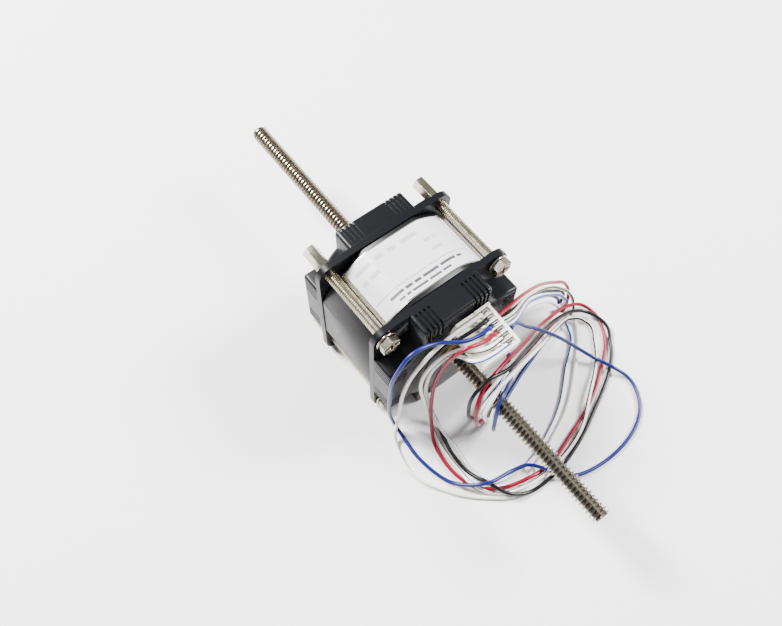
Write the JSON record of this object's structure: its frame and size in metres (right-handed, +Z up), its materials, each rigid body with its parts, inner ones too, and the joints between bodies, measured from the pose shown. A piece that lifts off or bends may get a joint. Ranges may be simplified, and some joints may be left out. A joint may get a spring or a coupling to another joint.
{
  "type": "linear stepper motor with lead screw",
  "caption": "Square-flanged stepper motor that drives a threaded lead screw through its hollow rotor, with colour-coded leads folded beside it and ending in a plug.",
  "frame": {"origin": "on the surface under the middle of the motor, where its square flanges rest", "axes": "+Z up, +Y along the lead screw from the lead exit end toward the rear standoffs, +X to the right when looking along +Y"},
  "size_m": [0.0997, 0.1968, 0.0567],
  "materials": {
    "zinc": "satin zinc plate",
    "black_casting": "satin black, ribbed",
    "barrel_paint": "satin charcoal",
    "label": "printed film with a silver margin",
    "silicon_steel": "laminated",
    "nylon": "natural nylon, slightly translucent",
    "copper_winding": "enamelled copper wire",
    "magnet": "ground",
    "bearing_steel": "ground",
    "bronze": "turned",
    "screw_steel": "rolled thread, satin",
    "rubber": "matt",
    "terminal": "tin plate",
    "red_wire": "PVC insulation",
    "black_wire": "PVC insulation",
    "white_wire": "PVC insulation",
    "white_black_wire": "PVC insulation, white with a black stripe",
    "white_blue_wire": "PVC insulation, white with a blue stripe",
    "blue_wire": "PVC insulation"
  },
  "bodies": {
    "motor": {"bolt_washer_1": "zinc", "bolt_washer_2": "zinc", "bolt_washer_3": "zinc", "bolt_washer_4": "zinc", "through_bolt_1": "zinc", "through_bolt_2": "zinc", "through_bolt_3": "zinc", "through_bolt_4": "zinc", "rear_standoff_1": "zinc", "rear_standoff_2": "zinc", "rear_standoff_3": "zinc", "rear_standoff_4": "zinc", "front_bell": "black_casting", "rear_bell": "black_casting", "motor_shell": "barrel_paint", "rating_label": "label", "stator_core": "silicon_steel", "front_insulator": "nylon", "rear_insulator": "nylon", "stator_coil_1": "copper_winding", "stator_coil_2": "copper_winding", "stator_coil_3": "copper_winding", "stator_coil_4": "copper_winding", "stator_coil_5": "copper_winding", "stator_coil_6": "copper_winding", "stator_coil_7": "copper_winding", "stator_coil_8": "copper_winding", "front_bearing_outer": "bearing_steel", "rear_bearing_outer": "bearing_steel", "front_bearing_balls": "bearing_steel", "rear_bearing_balls": "bearing_steel", "wave_washer": "bearing_steel", "guide_bush": "bronze", "screw_seal": "rubber", "lead_grommet": "rubber", "connector_housing": "nylon", "terminal_1": "terminal", "terminal_2": "terminal", "terminal_3": "terminal", "terminal_4": "terminal", "terminal_5": "terminal", "terminal_6": "terminal", "red_lead": "red_wire", "black_lead": "black_wire", "white_lead": "white_wire", "white_black_lead": "white_black_wire", "white_blue_lead": "white_blue_wire", "blue_lead": "blue_wire"},
    "rotor": {"rotor_core_front": "silicon_steel", "rotor_core_rear": "silicon_steel", "rotor_magnet": "magnet", "rotor_sleeve": "bearing_steel", "drive_nut": "bronze", "front_bearing_inner": "bearing_steel", "rear_bearing_inner": "bearing_steel"},
    "screw": {"lead_screw": "screw_steel"}
  },
  "joints": [
    {"name": "rotor_spin", "type": "hinge", "parent": "motor", "child": "rotor", "pos_m": [0, 0, 0.0282], "axis": [0, 1, 0], "range_deg": [-5760, 5760]},
    {"name": "screw_slide", "type": "slide", "parent": "motor", "child": "screw", "axis": [0, 1, 0], "range_m": [-0.0254, 0.0254]}
  ],
  "couplings": [
    {"joint": "screw_slide", "follows": "rotor_spin", "m_per_rad": -0.00025266}
  ]
}
